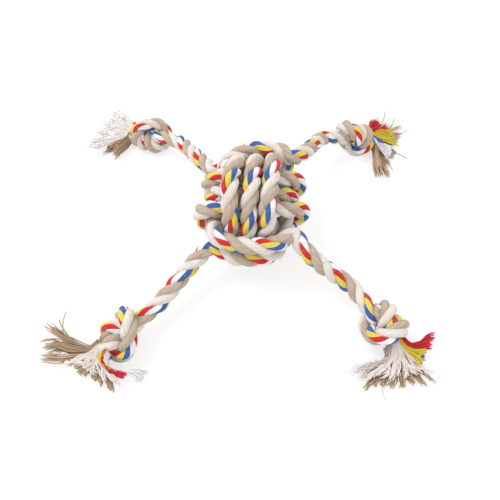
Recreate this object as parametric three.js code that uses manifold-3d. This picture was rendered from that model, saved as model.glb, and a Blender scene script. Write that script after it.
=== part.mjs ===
// Rope dog toy: two three-strand ropes worked into a ball, with four arms that
// lie out at the corners, an overhand knot on each arm and a frayed tassel past it.
// Millimetres, +Z up. The origin is on the floor, in the middle of the ball's flat foot.
import * as THREE from 'three';
import { mergeVertices } from 'three/addons/utils/BufferGeometryUtils.js';
import Module from 'manifold-3d';

const wasm = await Module();
wasm.setup();

// Rope
const rope_diameter = 12;
const turn_gap = 0.6;
const seat_gap = 0.3;
const foot_depth_share = 0.1;

// Arms, from the corner of the ball to the knot
const stub_run = 12;
const inner_run = 22;
const outer_run = 15.715;
const straight_run = 6;
const leave_slope = 0.25;
const lead_share = 0.55;

// Tassels
const tassel_length = 44;
const fan_bend = 7.5;
const settle_run = 12;
const lock_gap = 0.4;
const layer_gap = 0.8;
const tassel_low_top = 5;
const tassel_high_top = 10.5;
const root_height_share = 0.85;

const tan = { color: 0xbeaa94, roughness: 0.95, metalness: 0 };
const cream = { color: 0xe2dace, roughness: 0.95, metalness: 0 };
const white = { color: 0xf5f3f5, roughness: 0.9, metalness: 0 };
const blue = { color: 0x3a64b4, roughness: 0.9, metalness: 0 };
const red = { color: 0xdc3232, roughness: 0.9, metalness: 0 };
const yellow = { color: 0xebd750, roughness: 0.9, metalness: 0 };

// Each arm: its bearing in plan and its knot's distance, as a share of knot_reach; how far
// its rope leaves the ball above the ball's middle and how far it bows sideways, as shares of
// the rope's diameter; and how its knot is rolled, tilted and turned, in degrees.
const arms = {
  front_left: {
    bearing: 227, reach_share: 0.99, rise_share: -0.4, bow_share: -0.3,
    roll: 20, tilt: 1, turn: -2,
  },
  front_right: {
    bearing: 315.6, reach_share: 0.955, rise_share: 0.72, bow_share: -0.85,
    roll: 200, tilt: 5, turn: -15,
  },
  back_left: {
    bearing: 132.6, reach_share: 1.055, rise_share: 0.62, bow_share: 0,
    roll: 110, tilt: 12, turn: 17,
  },
  back_right: {
    bearing: 45.8, reach_share: 1.03, rise_share: 1.7, bow_share: -0.3,
    roll: 290, tilt: 18, turn: -26,
  },
};

// The tassels' locks of yarn. root and fan are ordered from the right edge of the rope's
// end to its left, root as shares of the rope's radius and fan in degrees at the tip. The
// last value is the length as a share of tassel_length.
const locks = {
  front_left: [
    { name: 'tan', look: tan, layer: 'full', root_shares: [-0.92, -0.5], fan: [-84, -54], length_share: 0.91 },
    { name: 'tan_under', look: tan, layer: 'low', root_shares: [-0.44, 0.3], fan: [-24, 72], length_share: 0.52 },
    { name: 'blue', look: blue, layer: 'low', root_shares: [0.36, 0.8], fan: [80, 88], length_share: 0.23 },
    { name: 'cream', look: cream, layer: 'high', root_shares: [-0.44, 0.3], fan: [-28, 84], length_share: 0.52 },
    { name: 'yellow', look: yellow, layer: 'high', root_shares: [0.36, 0.44], fan: [89, 94], length_share: 0.23 },
    { name: 'red', look: red, layer: 'high', root_shares: [0.5, 0.66], fan: [99, 111], length_share: 0.48 },
    { name: 'white', look: white, layer: 'high', root_shares: [0.72, 0.92], fan: [116, 128], length_share: 0.68 },
  ],
  front_right: [
    { name: 'wisps', look: cream, layer: 'full', root_shares: [-0.92, -0.7], fan: [-108, -93], length_share: 0.68 },
    { name: 'tan', look: tan, layer: 'low', root_shares: [-0.64, 0.1], fan: [-76, 10], length_share: 0.61 },
    { name: 'blue', look: blue, layer: 'low', root_shares: [0.16, 0.4], fan: [44, 58], length_share: 0.5 },
    { name: 'white', look: white, layer: 'low', root_shares: [0.46, 0.86], fan: [66, 84], length_share: 0.39 },
    { name: 'cream', look: cream, layer: 'high', root_shares: [-0.64, 0.1], fan: [-82, 14], length_share: 0.5 },
    { name: 'yellow', look: yellow, layer: 'high', root_shares: [0.16, 0.46], fan: [28, 56], length_share: 0.43 },
    { name: 'red', look: red, layer: 'high', root_shares: [0.52, 0.86], fan: [64, 84], length_share: 0.55 },
  ],
  back_left: [
    { name: 'tan', look: tan, layer: 'full', root_shares: [0.5, 0.92], fan: [76, 100], length_share: 0.57 },
    { name: 'tan_under', look: tan, layer: 'low', root_shares: [-0.3, 0.44], fan: [-12, 66], length_share: 0.77 },
    { name: 'blue', look: blue, layer: 'low', root_shares: [-0.58, -0.36], fan: [-48, -32], length_share: 0.32 },
    { name: 'yellow', look: yellow, layer: 'low', root_shares: [-0.88, -0.64], fan: [-72, -56], length_share: 0.32 },
    { name: 'cream', look: cream, layer: 'high', root_shares: [-0.3, 0.44], fan: [-16, 68], length_share: 0.98 },
    { name: 'red', look: red, layer: 'high', root_shares: [-0.58, -0.36], fan: [-56, -38], length_share: 0.34 },
    { name: 'white', look: white, layer: 'high', root_shares: [-0.88, -0.64], fan: [-78, -62], length_share: 0.3 },
  ],
  back_right: [
    { name: 'tan', look: tan, layer: 'full', root_shares: [-0.92, -0.5], fan: [-118, -103], length_share: 0.84 },
    { name: 'tan_under', look: tan, layer: 'low', root_shares: [-0.44, 0.7], fan: [-97, 2], length_share: 0.86 },
    { name: 'white', look: white, layer: 'high', root_shares: [-0.44, -0.16], fan: [-90, -75], length_share: 0.57 },
    { name: 'blue', look: blue, layer: 'high', root_shares: [-0.1, 0.08], fan: [-58, -44], length_share: 0.5 },
    { name: 'yellow', look: yellow, layer: 'high', root_shares: [0.14, 0.4], fan: [-30, 6], length_share: 0.64 },
    { name: 'red', look: red, layer: 'high', root_shares: [0.46, 0.7], fan: [16, 44], length_share: 0.6 },
    { name: 'wisps', look: cream, layer: 'low', root_shares: [0.76, 0.92], fan: [8, 36], length_share: 0.93 },
  ],
};

const rope_radius = rope_diameter / 2;
const pitch = rope_diameter + turn_gap;
const bead_step = 0.29 * pitch;
const degree = Math.PI / 180;
const up = new THREE.Vector3(0, 0, 1);
const at = (x, y, z) => new THREE.Vector3(x, y, z);

// Ropes drawn tight

function runLength(points) {
  return points.reduce((sum, point, i) => (i ? sum + point.distanceTo(points[i - 1]) : 0), 0);
}

// The same line with its points one step apart.
function evenly(points, step) {
  const total = runLength(points);
  const count = Math.max(8, Math.round(total / step) + 1);
  const even = [];
  let passed = 0;
  let k = 0;
  for (let i = 0; i < count; i++) {
    const goal = (total * i) / (count - 1);
    let span = points[k + 1].distanceTo(points[k]);
    while (k < points.length - 2 && passed + span < goal) {
      passed += span;
      k += 1;
      span = points[k + 1].distanceTo(points[k]);
    }
    const t = Math.min(1, (goal - passed) / span);
    even.push(new THREE.Vector3().lerpVectors(points[k], points[k + 1], t));
  }
  return even;
}

// Each inner point moves towards the middle of its two neighbours, as rope under pull does.
function pullTight(rope, pull) {
  const middles = rope.slice(1, -1).map((_, i) => rope[i].clone().add(rope[i + 2]).multiplyScalar(0.5));
  middles.forEach((middle, i) => rope[i + 1].lerp(middle, pull));
}

// A bend may not be sharper than the rope allows, so points half a diameter either side
// of a place keep a share of the distance that a straight run would have.
function keepStiff(rope, stiff_share) {
  const reach = Math.round(pitch / bead_step / 2);
  const wanted = stiff_share * 2 * reach * bead_step;
  for (let i = reach; i < rope.length - reach; i++) {
    const a = rope[i - reach];
    const b = rope[i + reach];
    const apart = a.distanceTo(b);
    if (apart >= wanted) continue;
    const push = b.clone().sub(a).multiplyScalar((wanted - apart) / apart / 4);
    if (i > reach) a.sub(push);
    if (i + reach < rope.length - 1) b.add(push);
  }
}

// Beads closer than one pitch push each other apart; the ends of a rope stay where they are.
function pushApart(beads, skip) {
  const pushes = beads.map(() => new THREE.Vector3());
  const way = new THREE.Vector3();
  for (let i = 0; i < beads.length; i++) {
    for (let j = i + 1; j < beads.length; j++) {
      if (beads[i].rope === beads[j].rope && beads[j].index - beads[i].index < skip) continue;
      const square = beads[i].point.distanceToSquared(beads[j].point);
      if (square >= pitch * pitch) continue;
      way.subVectors(beads[j].point, beads[i].point).multiplyScalar((pitch / Math.sqrt(square) - 1) / 2);
      pushes[i].sub(way);
      pushes[j].add(way);
    }
  }
  beads.forEach((bead, i) => { if (!bead.held) bead.point.add(pushes[i]); });
}

// Draws loose ropes tight against each other, with their ends held.
function drawTight(loose, rounds) {
  const pull_share = 0.9;
  const pulled_share = 0.8;
  const stiff_share = 0.88;
  const skip = Math.ceil((1.75 * pitch) / bead_step);
  let ropes = loose.map((points) => evenly(points, bead_step));
  for (let round = 0; round < rounds; round++) {
    if (round % 5 === 0) ropes = ropes.map((rope) => evenly(rope, bead_step));
    const pull = pull_share * Math.max(0, 1 - round / (rounds * pulled_share));
    for (const rope of ropes) {
      pullTight(rope, pull);
      keepStiff(rope, stiff_share);
      keepStiff(rope, stiff_share);
    }
    const beads = ropes.flatMap((rope, r) =>
      rope.map((point, index) => ({ point, index, rope: r, held: index === 0 || index === rope.length - 1 })));
    for (let pass = 0; pass < 3; pass++) pushApart(beads, skip);
  }
  return ropes;
}

// The ball

// A rounded loop's distance from its middle at an angle, for two half widths.
function loopRadius(angle, half_a, half_b) {
  const roundness = 3;
  const a = (Math.abs(Math.cos(angle)) / half_a) ** roundness;
  const b = (Math.abs(Math.sin(angle)) / half_b) ** roundness;
  return 1 / (a + b) ** (1 / roundness);
}

// Three loose turns whose middle line drifts sideways by a pitch a turn. place(side, a, b)
// says where a point goes, side along the winding's own axis.
function looseWinding({ half_shares, start, sense, drift, end_shares, place }) {
  const turns = 3;
  const steps = 48 * turns;
  const points = [];
  for (let i = 0; i <= steps; i++) {
    const t = i / steps;
    const angle = start + sense * t * turns * 2 * Math.PI;
    const radius = loopRadius(angle, half_shares[0] * pitch, half_shares[1] * pitch);
    const side = drift * pitch * turns * (t - 0.5);
    points.push(place(side, radius * Math.cos(angle), radius * Math.sin(angle)).multiplyScalar(loose_share));
  }
  points[0] = at(...end_shares[0]).multiplyScalar(pitch);
  points[steps] = at(...end_shares[1]).multiplyScalar(pitch);
  return points;
}

// A bight: in at one front corner, round the far side of the ball, out at the back corner.
function looseBight(front, back, side) {
  const low = front.exit.z;
  const high = back.exit.z;
  const wide_shares = [[1, 3], [-1, 3], [-1.9, 2], [-2, 1]];
  const halves = wide_shares.map(([x, y]) => [x * side, y]);
  const forward = halves.map(([x, y]) => at(x * pitch * loose_share, -y * pitch * loose_share, low));
  const home = halves.map(([x, y]) => at(x * pitch * loose_share, y * pitch * loose_share, high)).reverse();
  const points = [front.exit, ...forward, ...home, back.exit];
  return new THREE.CatmullRomCurve3(points, false, 'centripetal').getSpacedPoints(120);
}

const loose_share = 1.45;

// Where each arm's rope leaves the ball, from the ball's middle, and where its knot lies.
const exit_reach = 3.25 * pitch;
const squeeze_share = 0.75;
const knot_entry = 2.3 * pitch * squeeze_share;
const knot_exit = 1.85 * pitch * squeeze_share;
const arm_run = stub_run + rope_radius + seat_gap + inner_run + outer_run + seat_gap + straight_run;
const knot_reach = exit_reach + arm_run + knot_entry;
for (const arm of Object.values(arms)) {
  arm.out = at(Math.cos(arm.bearing * degree), Math.sin(arm.bearing * degree), 0);
  arm.exit = arm.out.clone().multiplyScalar(exit_reach).setZ(arm.rise_share * rope_diameter);
  arm.knot = arm.out.clone().multiplyScalar(arm.reach_share * knot_reach);
}

const over_slant = -15;
const over_winding = looseWinding({
  half_shares: [2, 2.5],
  start: Math.PI,
  sense: 1,
  drift: -1,
  end_shares: [[1.1, -1.3, 0.3], [-1.1, -1.3, -0.3]],
  place: (side, a, b) => at(side, a, b).applyAxisAngle(up, over_slant * degree),
});
const side_winding = looseWinding({
  half_shares: [3, 1.5],
  start: -Math.PI / 2,
  sense: -1,
  drift: 1,
  end_shares: [[0.2, -1, -0.5], [0.2, 1, 0.5]],
  place: (side, a, b) => at(a, side, b),
});
const left_bight = looseBight(arms.front_right, arms.back_right, 1);
const right_bight = looseBight(arms.front_left, arms.back_left, -1);
const ball_rounds = 500;
const ball_ropes = drawTight([over_winding, side_winding, left_bight, right_bight], ball_rounds);

// The knot

// A loose overhand knot along X, from its known curve of powers, drawn tight between two
// held ends and then cut to length, so that it goes in and out straight along X.
function tightKnot(entry, exit) {
  const steps = 80;
  const half_span = 2.15;
  const held_reach = 2.9 * pitch;
  const held_rise = 0.38 * pitch;
  const knot_rounds = 700;
  const loose = [];
  for (let i = 0; i <= steps; i++) {
    const t = half_span * ((2 * i) / steps - 1);
    loose.push(at(t ** 3 - 3 * t, t ** 4 - 4 * t ** 2 + 1.5, (t ** 5 - 10 * t) / 8).multiplyScalar(pitch));
  }
  const last = loose[steps];
  const swing = Math.atan2(last.z, last.x);
  loose.forEach((point) => point.applyAxisAngle(at(0, 1, 0), swing));
  const ends = [at(-held_reach, held_rise, 0), at(held_reach, held_rise, 0)];
  const tight = drawTight([[ends[0], ...loose, ends[1]]], knot_rounds)[0];
  const kept = tight.filter((point) => point.x > -entry && point.x < exit);
  kept.forEach((point, i) => {
    const run = Math.min(i, kept.length - 1 - i) * bead_step;
    const bent_share = THREE.MathUtils.smoothstep(run, 0.3 * rope_diameter, 0.75 * rope_diameter);
    point.set(point.x, (point.y - held_rise) * bent_share, point.z * bent_share);
  });
  return [at(-entry, 0, 0), ...kept, at(exit, 0, 0)];
}

// A knot is pulled so hard that its rope is squeezed, so it is smaller and its rope thinner.
const full_knot_line = tightKnot(knot_entry / squeeze_share, knot_exit / squeeze_share);
const knot_line = full_knot_line.map((point) => point.clone().multiplyScalar(squeeze_share));

// Least gap between any two stretches of tube, told on points.
function leastGap(ropes, skip) {
  let least = Infinity;
  ropes.forEach((rope, r) => {
    for (const [q, other] of ropes.entries()) {
      if (q < r) continue;
      rope.forEach((point, i) => {
        const from = q === r ? i + skip : 0;
        for (let j = from; j < other.length; j++) least = Math.min(least, point.distanceTo(other[j]));
      });
    }
  });
  return least - rope_diameter;
}

console.log('least gap in the ball', leastGap(ball_ropes, 8).toFixed(2), 'mm');
console.log('least gap in a knot before it is squeezed', leastGap([full_knot_line], 8).toFixed(2), 'mm');

// Solids

// A round cord of a few flat sides along a smooth line.
function cordGeometry(points, sides, step, radius = rope_radius) {
  const corners = [];
  for (let i = 0; i < sides; i++) {
    const angle = (2 * Math.PI * i) / sides;
    corners.push(new THREE.Vector2(radius * Math.cos(angle), radius * Math.sin(angle)));
  }
  const path = new THREE.CatmullRomCurve3(points, false, 'centripetal');
  path.arcLengthDivisions = 10 * points.length;
  const steps = Math.max(2, Math.round(path.getLength() / step));
  return new THREE.ExtrudeGeometry(new THREE.Shape(corners), { steps, bevelEnabled: false, extrudePath: path });
}

const weld_distance = 1e-4;

function toSolid(geometry) {
  const bare = geometry.clone();
  bare.deleteAttribute('normal');
  bare.deleteAttribute('uv');
  const merged = mergeVertices(bare, weld_distance);
  return new wasm.Manifold(new wasm.Mesh({
    numProp: 3,
    vertProperties: Float32Array.from(merged.attributes.position.array),
    triVerts: Uint32Array.from(merged.index.array),
  }));
}

function toGeometry(solid) {
  const mesh = solid.getMesh();
  const geometry = new THREE.BufferGeometry();
  geometry.setAttribute('position', new THREE.BufferAttribute(mesh.vertProperties, 3));
  geometry.setIndex(new THREE.BufferAttribute(mesh.triVerts, 1));
  geometry.computeVertexNormals();
  return geometry;
}

const group = new THREE.Group();
const toy = new THREE.Group();
group.add(toy);

function addMesh(parent, name, geometry, look) {
  const mesh = new THREE.Mesh(geometry, new THREE.MeshStandardMaterial(look));
  mesh.name = name;
  parent.add(mesh);
  return mesh;
}

const turn_sides = 6;
const turn_step = 6;
const knot_step = 4.5;
const arm_sides = 10;
const arm_step = 12;

// How far the ball's middle stands over the floor, once its foot is cut flat.
const foot_depth = foot_depth_share * rope_diameter;
const over_geometry = cordGeometry(ball_ropes[0], turn_sides, turn_step);
over_geometry.computeBoundingBox();
const ball_height = -over_geometry.boundingBox.min.z - foot_depth;

function cutFoot(geometry) {
  const floor_block = new THREE.BoxGeometry(exit_reach * 2, exit_reach * 2, rope_diameter);
  floor_block.translate(0, 0, -ball_height - rope_diameter / 2);
  return toGeometry(toSolid(geometry).subtract(toSolid(floor_block)));
}

// The middle of the flat foot that the ball rests on.
function footMiddle(geometry) {
  const corners = geometry.toNonIndexed().attributes.position;
  const middle = new THREE.Vector2();
  let area = 0;
  for (let i = 0; i < corners.count; i += 3) {
    const face = new THREE.Triangle();
    face.setFromAttributeAndIndices(corners, i, i + 1, i + 2);
    const highest = Math.max(face.a.z, face.b.z, face.c.z);
    if (highest > weld_distance - ball_height) continue;
    const centre = face.getMidpoint(new THREE.Vector3());
    middle.add(new THREE.Vector2(centre.x, centre.y).multiplyScalar(face.getArea()));
    area += face.getArea();
  }
  return middle.divideScalar(area);
}

const ball = new THREE.Group();
ball.position.z = ball_height;
toy.add(ball);
const footed = cutFoot(over_geometry);
const foot = footMiddle(footed);
toy.position.set(-foot.x, -foot.y, 0);
addMesh(ball, 'over_winding', footed, tan);
addMesh(ball, 'side_winding', cordGeometry(ball_ropes[1], turn_sides, turn_step), cream);

// Each arm's line runs from the ball's corner to its knot, short of the knot's straight end.
function armLine(arm, along) {
  const start = arm.exit.clone().setZ(arm.exit.z + ball_height);
  const end = arm.knot.clone().addScaledVector(along, -knot_entry - seat_gap - straight_run);
  const span = start.distanceTo(end) / 3;
  const across = at(-arm.out.y, arm.out.x, 0).multiplyScalar(arm.bow_share * rope_diameter);
  const first = start.clone().addScaledVector(arm.out, span).addScaledVector(up, -leave_slope * span).add(across);
  const second = end.clone().addScaledVector(along, -lead_share * span);
  return new THREE.CubicBezierCurve3(start, first, second, end);
}

// The points of a line between two distances along it. The last may round to just past its end.
function stretch(line, from, to) {
  const total = line.getLength();
  const count = 6;
  const points = [];
  for (let i = 0; i <= count; i++) {
    const share = (from + ((to - from) * i) / count) / total;
    points.push(line.getPointAt(Math.min(1, share)));
  }
  return points;
}

// A moving length of rope: its near end is a ball about the pivot, so it can swing.
function swingingLength(points) {
  const end_ball = new THREE.SphereGeometry(rope_radius, arm_sides, arm_sides / 2);
  const way = points[1].clone().sub(points[0]).normalize();
  end_ball.applyQuaternion(new THREE.Quaternion().setFromUnitVectors(at(0, 1, 0), way));
  end_ball.translate(points[0].x, points[0].y, points[0].z);
  return toGeometry(toSolid(cordGeometry(points, arm_sides, arm_step)).add(toSolid(end_ball)));
}

// A lock's side line at a distance along it, for its place at the root and its heading at the tip.
function sideLine(root, heading, run) {
  const angle = heading * degree;
  const bent = Math.min(run, fan_bend);
  const rest = run - bent;
  const turned = (angle * bent) / fan_bend;
  const radius = fan_bend / angle;
  const straight = Math.abs(angle) < 1e-6;
  const x = straight ? bent : radius * Math.sin(turned);
  const y = straight ? 0 : radius * (1 - Math.cos(turned));
  return new THREE.Vector2(x + rest * Math.cos(angle), root + y + rest * Math.sin(angle));
}

// The heights between which a layer of the tassel lies, at a place in plan.
function layerHeights(layer, place, root_height) {
  const away = place.x + Math.max(0, Math.abs(place.y) - rope_radius);
  const eased = THREE.MathUtils.smoothstep(away, 0, settle_run);
  const half = rope_radius * root_height_share;
  const low = THREE.MathUtils.lerp(root_height - half, seat_gap, eased);
  const middle = THREE.MathUtils.lerp(root_height, tassel_low_top, eased);
  const high = THREE.MathUtils.lerp(root_height + half, tassel_high_top, eased);
  if (layer === 'low') return { low, high: middle, eased };
  if (layer === 'high') return { low: middle + layer_gap, high, eased };
  return { low, high, eased };
}

// One lock of yarn: a fluted body that fans out between two side lines, ragged at its tip.
// lean is the slope of the rope's end face, which the lock's root lies against.
function lockGeometry(lock, root_height, lean) {
  const around = 12;
  const flute_share = 0.86;
  const ragged_share = 0.12;
  const run_shares = [0, 1 / 3, 2 / 3, 1];
  const length = lock.length_share * tassel_length;
  const runs = run_shares.map((share) => share * settle_run).filter((run) => run < length);
  runs.push((runs[runs.length - 1] + length) / 2, length);
  const half_gap = lock_gap / 2;
  const right_root = lock.root_shares[0] * rope_radius + half_gap;
  const left_root = lock.root_shares[1] * rope_radius - half_gap;
  const positions = [];
  const addPoint = (run, across_share, up_share) => {
    const right = sideLine(right_root, lock.fan[0], run);
    const left = sideLine(left_root, lock.fan[1], run);
    const place = right.lerp(left, 0.5 + 0.5 * across_share);
    const { low, high, eased } = layerHeights(lock.layer, place, root_height);
    const height = (low + high) / 2 + ((high - low) / 2) * up_share;
    positions.push(place.x + (height - root_height) * lean * (1 - eased), place.y, height);
  };
  const ring = (run, end) => {
    for (let i = 0; i < around; i++) {
      const angle = (2 * Math.PI * i) / around;
      const ridge = i % 2 ? flute_share : 1;
      const cut = end && i % 2 ? run * (1 - ragged_share) : run;
      addPoint(cut, ridge * Math.cos(angle), ridge * Math.sin(angle));
    }
  };
  runs.forEach((run, i) => ring(run, i === runs.length - 1));
  addPoint(0, 0, 0);
  addPoint(length, 0, 0);
  const index = [];
  const root_middle = runs.length * around;
  const tip_middle = root_middle + 1;
  const tip_ring = (runs.length - 1) * around;
  for (let i = 0; i < around; i++) {
    const next = (i + 1) % around;
    for (let k = 0; k < runs.length - 1; k++) {
      const a = k * around;
      const b = a + around;
      index.push(a + i, a + next, b + next, a + i, b + next, b + i);
    }
    index.push(root_middle, next, i);
    index.push(tip_middle, tip_ring + i, tip_ring + next);
  }
  const geometry = new THREE.BufferGeometry();
  geometry.setAttribute('position', new THREE.Float32BufferAttribute(positions, 3));
  geometry.setIndex(index);
  geometry.computeVertexNormals();
  return geometry;
}

for (const [place, arm] of Object.entries(arms)) {
  const end = new THREE.Group();
  end.rotation.set(0, arm.tilt * degree, (arm.bearing + arm.turn) * degree, 'ZYX');
  toy.add(end);
  const knot_geometry = cordGeometry(knot_line, turn_sides, knot_step, rope_radius * squeeze_share);
  const knot = addMesh(end, `knot_${place}`, knot_geometry, cream);
  knot.rotation.x = arm.roll * degree;
  arm.knot.setZ(-new THREE.Box3().setFromObject(end, true).min.z);
  end.position.copy(arm.knot);

  const along = at(1, 0, 0).applyEuler(end.rotation);
  const tassel = new THREE.Group();
  tassel.position.copy(arm.knot).addScaledVector(along, knot_exit + seat_gap);
  tassel.rotation.z = end.rotation.z;
  toy.add(tassel);
  const root_height = tassel.position.z;
  tassel.position.z = 0;
  for (const lock of locks[place]) {
    const geometry = lockGeometry(lock, root_height, Math.tan(end.rotation.y));
    addMesh(tassel, `tassel_${place}_${lock.name}`, geometry, lock.look);
  }

  arm.line = armLine(arm, along);
  const total = arm.line.getLength();
  const root = stub_run + rope_radius + seat_gap;
  const elbow = root + inner_run;
  const inner = swingingLength(stretch(arm.line, root, elbow - rope_radius - seat_gap));
  const outer_points = stretch(arm.line, elbow, total);
  outer_points.push(outer_points[outer_points.length - 1].clone().addScaledVector(along, straight_run));
  const outer = swingingLength(outer_points);
  addMesh(toy, `arm_${place}_inner`, inner, tan);
  addMesh(toy, `arm_${place}_outer`, outer, tan);
  arm.stub = stretch(arm.line, 0, stub_run);
  const tell = (point, digits) => point.toArray().map((value) => value.toFixed(digits)).join(', ');
  const tellPlace = (run) => tell(arm.line.getPointAt(run / total).add(toy.position), 2);
  const direction = tell(arm.line.getTangentAt(root / total), 3);
  console.log(place, 'root', tellPlace(root), 'elbow', tellPlace(elbow), 'way', direction,
    'length', total.toFixed(1));
}

// The two bights carry the first run of each arm.
function addBight(name, line, front, back) {
  const lower = (points) => points.map((point) => point.clone().setZ(point.z - ball_height));
  const points = [...lower(front.stub).reverse(), ...line.slice(1, -1), ...lower(back.stub)];
  addMesh(ball, name, cordGeometry(points, turn_sides, turn_step), white);
}

addBight('left_bight', ball_ropes[2], arms.front_right, arms.back_right);
addBight('right_bight', ball_ropes[3], arms.front_left, arms.back_left);

export default group;
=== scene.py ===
# %% [markdown]
# This file dresses a rope dog toy: two three-strand ropes worked into a ball, with four arms
# that lie out at the corners, an overhand knot on each arm and a frayed tassel past it.
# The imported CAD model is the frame. The ropes here follow the centre lines of their CAD tubes,
# but for the knots, which are 13 per cent shorter and 6 per cent fatter than the CAD ones.

# %% Frame
import math
import bpy
import numpy as np
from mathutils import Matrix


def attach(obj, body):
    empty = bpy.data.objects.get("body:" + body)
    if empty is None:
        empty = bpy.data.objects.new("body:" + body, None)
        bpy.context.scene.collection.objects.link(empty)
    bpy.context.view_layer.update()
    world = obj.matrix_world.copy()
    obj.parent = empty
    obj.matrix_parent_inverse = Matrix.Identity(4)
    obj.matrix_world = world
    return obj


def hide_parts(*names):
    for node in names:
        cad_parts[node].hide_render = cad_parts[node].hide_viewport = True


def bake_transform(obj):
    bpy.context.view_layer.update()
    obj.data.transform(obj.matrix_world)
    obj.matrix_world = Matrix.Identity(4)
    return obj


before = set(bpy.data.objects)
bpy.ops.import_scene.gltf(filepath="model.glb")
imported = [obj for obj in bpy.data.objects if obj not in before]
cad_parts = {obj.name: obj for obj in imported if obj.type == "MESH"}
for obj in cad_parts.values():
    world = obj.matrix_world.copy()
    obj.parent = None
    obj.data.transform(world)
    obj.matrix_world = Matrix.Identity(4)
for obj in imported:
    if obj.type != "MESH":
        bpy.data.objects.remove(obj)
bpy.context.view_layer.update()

# %% [markdown]
# The camera looks down on the toy at 57 degrees, from the front. Its place was fitted to five
# places in the photograph: the ball's middle and the four knots. A lens is set by its focal
# length in image widths, here 419 of 500 pixels.

# %% Camera
ball_middle = np.array([0.0087023, 0.010538, 0.0313694])
image_width = 500
focal_pixels = 419
sensor_width = 36
camera_tilt = 33
camera_place = (-0.0012, -0.1926, 0.2716)

camera = bpy.data.objects.new("camera", bpy.data.cameras.new("camera"))
bpy.context.scene.collection.objects.link(camera)
bpy.context.scene.camera = camera
camera.data.sensor_width = sensor_width
camera.data.lens = sensor_width * focal_pixels / image_width
camera.location = (ball_middle[0] + camera_place[0], ball_middle[1] + camera_place[1], camera_place[2])
camera.rotation_euler = (math.radians(camera_tilt), 0, 0)
camera.data.clip_start = 0.01
camera.data.clip_end = 20
print("lens", round(camera.data.lens, 2), "mm")

# %% [markdown]
# A rope in a tight knot has no shape of its own. It lies where its neighbours let it. So the
# ropes are first laid out loose and then drawn tight as chains of beads. Each round pulls every
# bead towards the middle of its neighbours, keeps bends from getting too sharp, and pushes
# apart beads that are nearer than one rope. Turns drawn by hand would cut through each other.

# %% Ropes drawn tight
rope_diameter = 0.012
rope_radius = rope_diameter / 2
pitch = 0.0126
bead_step = 0.29 * pitch


def evenly(points, step):
    """The same line with its points one step apart: each coordinate is read off at even
    shares of the distance run along the line."""
    run = np.concatenate([[0], np.cumsum(np.linalg.norm(np.diff(points, axis=0), axis=1))])
    count = max(8, int(run[-1] / step + 0.5) + 1)
    goals = np.linspace(0, run[-1], count)
    return np.stack([np.interp(goals, run, points[:, k]) for k in range(3)], axis=1)


def pull_tight(rope, pull):
    """Inner point = itself + pull * (middle of its two neighbours - itself)."""
    middles = (rope[:-2] + rope[2:]) / 2
    rope[1:-1] += (middles - rope[1:-1]) * pull


def keep_stiff(rope, stiff_share):
    """Points four steps apart keep a share of the distance of a straight run. Each group of
    four points is pushed away from the next group, by a quarter of what is missing."""
    span = 4
    wanted = stiff_share * span * bead_step
    ends = rope[[0, -1]].copy()
    for start in range(0, len(rope) - span, span):
        after = rope[start + span:start + 2 * span]
        before = rope[start:start + len(after)]
        way = after - before
        apart = np.linalg.norm(way, axis=1)
        push = way * (np.maximum(0, wanted - apart) / apart / 4)[:, None]
        before -= push
        after += push
    rope[[0, -1]] = ends


def push_apart(beads, allowed, held):
    """Two beads nearer than a pitch each move half of what is missing, along the line between
    them. All moves are summed before any bead moves."""
    squares = (beads ** 2).sum(axis=1)
    apart = squares[:, None] + squares[None, :] - 2 * beads @ beads.T
    i, j = np.nonzero(allowed & (apart < pitch ** 2))
    way = beads[j] - beads[i]
    way *= ((pitch / np.linalg.norm(way, axis=1) - 1) / 2)[:, None]
    for k in range(3):
        moves = np.bincount(j, way[:, k], len(beads)) - np.bincount(i, way[:, k], len(beads))
        beads[:, k] += np.where(held, 0, moves)


def draw_tight(loose, rounds):
    """Loose ropes drawn tight against each other with their ends held. The pull fades from
    nine tenths to nothing over the first four fifths of the rounds."""
    skip = math.ceil(1.75 * pitch / bead_step)
    ropes = [evenly(points, bead_step) for points in loose]
    for round_number in range(rounds):
        if round_number % 5 == 0:
            ropes = [evenly(rope, bead_step) for rope in ropes]
            counts = [len(rope) for rope in ropes]
            owner = np.repeat(np.arange(len(ropes)), counts)
            place = np.concatenate([np.arange(count) for count in counts])
            step_gap = place[None, :] - place[:, None]
            same = owner[:, None] == owner[None, :]
            after = np.triu(np.ones((len(owner), len(owner)), bool), 1)
            allowed = after & (~same | (step_gap >= skip))
            held = (place == 0) | (place == np.repeat(counts, counts) - 1)
        pull = 0.9 * max(0, 1 - round_number / (0.8 * rounds))
        for rope in ropes:
            pull_tight(rope, pull)
            keep_stiff(rope, 0.88)
            keep_stiff(rope, 0.88)
        beads = np.concatenate(ropes)
        for _ in range(3):
            push_apart(beads, allowed, held)
        ropes = np.split(beads, np.cumsum(counts)[:-1])
    return ropes


# %% [markdown]
# The ball of the real toy hides how its ropes run inside. What shows is three turns over the
# top, two or three turns round each side, and rope passing under them from corner to corner.
# So it is made of two windings at right angles, and of a bight between the two arms on each
# side. Each starts as a rounded loop, 1.45 times its size when packed close.

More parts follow.
